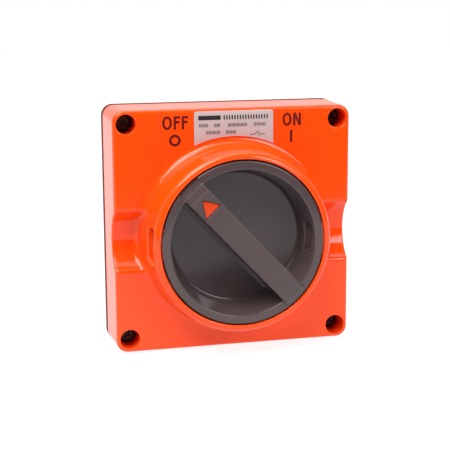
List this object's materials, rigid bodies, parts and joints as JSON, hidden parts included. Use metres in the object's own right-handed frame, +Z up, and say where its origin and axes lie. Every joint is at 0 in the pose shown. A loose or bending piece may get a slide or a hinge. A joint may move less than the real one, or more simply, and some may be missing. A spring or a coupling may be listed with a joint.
{
  "type": "rotary isolator switch",
  "caption": "Square weatherproof rotary isolator module: raised collar, dished knob with a diagonal bar and pointer, padlock slots, three-pole switch body behind.",
  "frame": {"origin": "centre of the rear face of the cover's seal, the plane that meets the enclosure", "axes": "+X to the right seen from the front, +Y backwards into the enclosure, +Z up; the knob turns about +Y through z = -3.16 mm"},
  "size_m": [0.101, 0.0647, 0.101],
  "materials": {
    "orange_plastic": "glossy moulded orange plastic",
    "grey_plastic": "semi-gloss warm dark grey plastic",
    "arrow_red": "satin red-orange inlay",
    "label_silver": "satin silver-grey printed label",
    "seal_rubber": "matte black rubber",
    "zinc_steel": "bright zinc plate",
    "brass": "machined brass",
    "contact_copper": "rolled copper with silver tips",
    "black_plastic": "fine matt black thermoset",
    "ivory_plastic": "satin ivory thermoset",
    "white_nylon": "satin natural nylon"
  },
  "bodies": {
    "cover_and_body": {"front_cover": "orange_plastic", "cover_seal": "seal_rubber", "rating_label": "label_silver", "cover_screw_1": "zinc_steel", "screw_washer_1": "white_nylon", "cover_screw_2": "zinc_steel", "screw_washer_2": "white_nylon", "cover_screw_3": "zinc_steel", "screw_washer_3": "white_nylon", "cover_screw_4": "zinc_steel", "screw_washer_4": "white_nylon", "front_housing": "ivory_plastic", "rear_housing": "black_plastic", "housing_screw_1": "zinc_steel", "housing_screw_2": "zinc_steel", "housing_screw_3": "zinc_steel", "housing_screw_4": "zinc_steel", "fixed_contact_1": "brass", "terminal_screw_1": "zinc_steel", "terminal_clamp_1": "zinc_steel", "fixed_contact_2": "brass", "terminal_screw_2": "zinc_steel", "terminal_clamp_2": "zinc_steel", "fixed_contact_3": "brass", "terminal_screw_3": "zinc_steel", "terminal_clamp_3": "zinc_steel", "fixed_contact_4": "brass", "terminal_screw_4": "zinc_steel", "terminal_clamp_4": "zinc_steel", "fixed_contact_5": "brass", "terminal_screw_5": "zinc_steel", "terminal_clamp_5": "zinc_steel", "fixed_contact_6": "brass", "terminal_screw_6": "zinc_steel", "terminal_clamp_6": "zinc_steel"},
    "knob_and_spindle": {"knob": "grey_plastic", "pointer_arrow": "arrow_red", "spindle": "zinc_steel", "spindle_seal": "seal_rubber", "retaining_clip": "zinc_steel", "thrust_washer": "white_nylon", "cam_drum": "ivory_plastic"},
    "contact_carrier": {"contact_carrier": "white_nylon", "bridge_contact_1": "contact_copper", "bridge_contact_2": "contact_copper", "bridge_contact_3": "contact_copper", "contact_spring_1": "zinc_steel", "contact_spring_2": "zinc_steel", "contact_spring_3": "zinc_steel"}
  },
  "joints": [
    {"name": "knob_turn", "type": "hinge", "parent": "cover_and_body", "child": "knob_and_spindle", "pos_m": [0, -0.03, -0.00316], "axis": [0, 1, 0], "range_deg": [0, 90]},
    {"name": "carrier_slide", "type": "slide", "parent": "cover_and_body", "child": "contact_carrier", "axis": [0, 1, 0], "range_m": [0, 0.004]}
  ],
  "couplings": [
    {"joint": "carrier_slide", "follows": "knob_turn", "m_per_rad": 0.0025464}
  ]
}
